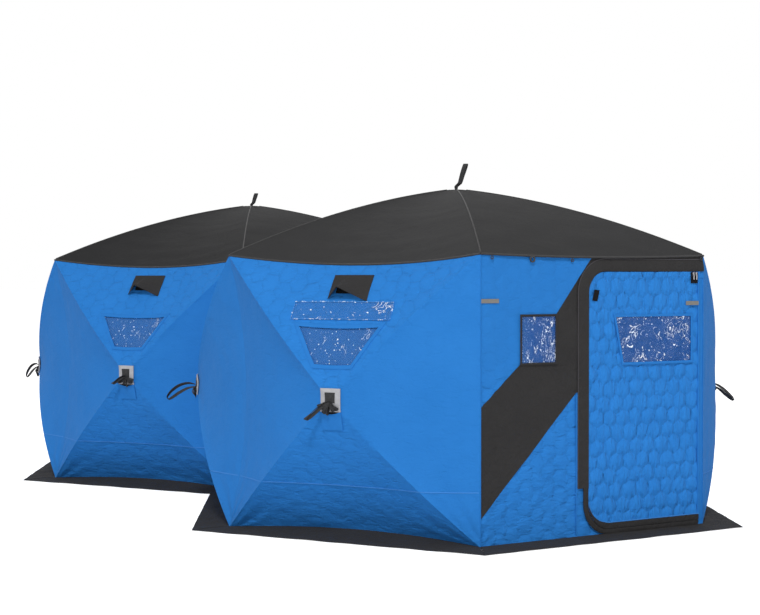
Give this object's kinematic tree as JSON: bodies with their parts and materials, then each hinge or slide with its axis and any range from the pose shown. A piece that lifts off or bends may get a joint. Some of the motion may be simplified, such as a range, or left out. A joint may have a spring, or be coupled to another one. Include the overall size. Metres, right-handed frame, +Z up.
{
  "type": "ice fishing hut",
  "caption": "Pop-up ice fishing hut of quilted cloth: two six-sided rooms joined side to side, pushed out by bowed poles and hubs, with domed roofs, clear windows and a door flap that swings.",
  "frame": {"origin": "on the ground, in the middle of the open side that the two rooms share", "axes": "+Z up, +Y from the front door's end to the rear end, +X to the right of a person facing the front door"},
  "size_m": [4.0308, 6.5222, 2.3748],
  "materials": {
    "blue_cloth": "quilted, matte",
    "black_cloth": "matte",
    "clear_vinyl": "clear, glossy",
    "fibreglass_pole": "semi-gloss",
    "hub_plastic": "matte",
    "grey_patch": "matte",
    "webbing": "woven"
  },
  "bodies": {
    "hut": {"front_clear_strip": "clear_vinyl", "front_door_frame": "blue_cloth", "front_door_header": "black_cloth", "front_end_panels": "blue_cloth", "front_hub_patches": "grey_patch", "front_hubs": "hub_plastic", "front_left_mid_wall": "blue_cloth", "front_left_wall": "blue_cloth", "front_pull_straps": "webbing", "front_right_mid_wall": "blue_cloth", "front_right_wall": "blue_cloth", "front_roof": "black_cloth", "front_roof_poles": "fibreglass_pole", "front_roof_strap": "webbing", "front_skirt": "black_cloth", "front_stripe": "black_cloth", "front_vent_hoods": "black_cloth", "front_wall_poles": "fibreglass_pole", "front_wall_windows": "clear_vinyl", "front_window_blinds": "blue_cloth", "rear_door": "blue_cloth", "rear_door_blind": "blue_cloth", "rear_door_frame": "blue_cloth", "rear_door_header": "black_cloth", "rear_door_window": "clear_vinyl", "rear_end_panels": "blue_cloth", "rear_hub_patches": "grey_patch", "rear_hubs": "hub_plastic", "rear_left_mid_wall": "blue_cloth", "rear_left_wall": "blue_cloth", "rear_pull_straps": "webbing", "rear_right_mid_wall": "blue_cloth", "rear_right_wall": "blue_cloth", "rear_roof": "black_cloth", "rear_roof_poles": "fibreglass_pole", "rear_roof_strap": "webbing", "rear_skirt": "black_cloth", "rear_stripe": "black_cloth", "rear_vent_hoods": "black_cloth", "rear_wall_poles": "fibreglass_pole", "rear_wall_windows": "clear_vinyl", "rear_window_blinds": "blue_cloth"},
    "door": {"front_door": "blue_cloth", "front_door_window": "clear_vinyl", "front_door_blind": "blue_cloth"}
  },
  "joints": [
    {"name": "door_hinge", "type": "hinge", "parent": "hut", "child": "door", "pos_m": [0.828, -3.03939, 0.836], "axis": [0, 0, 1], "range_deg": [0, 120]}
  ]
}
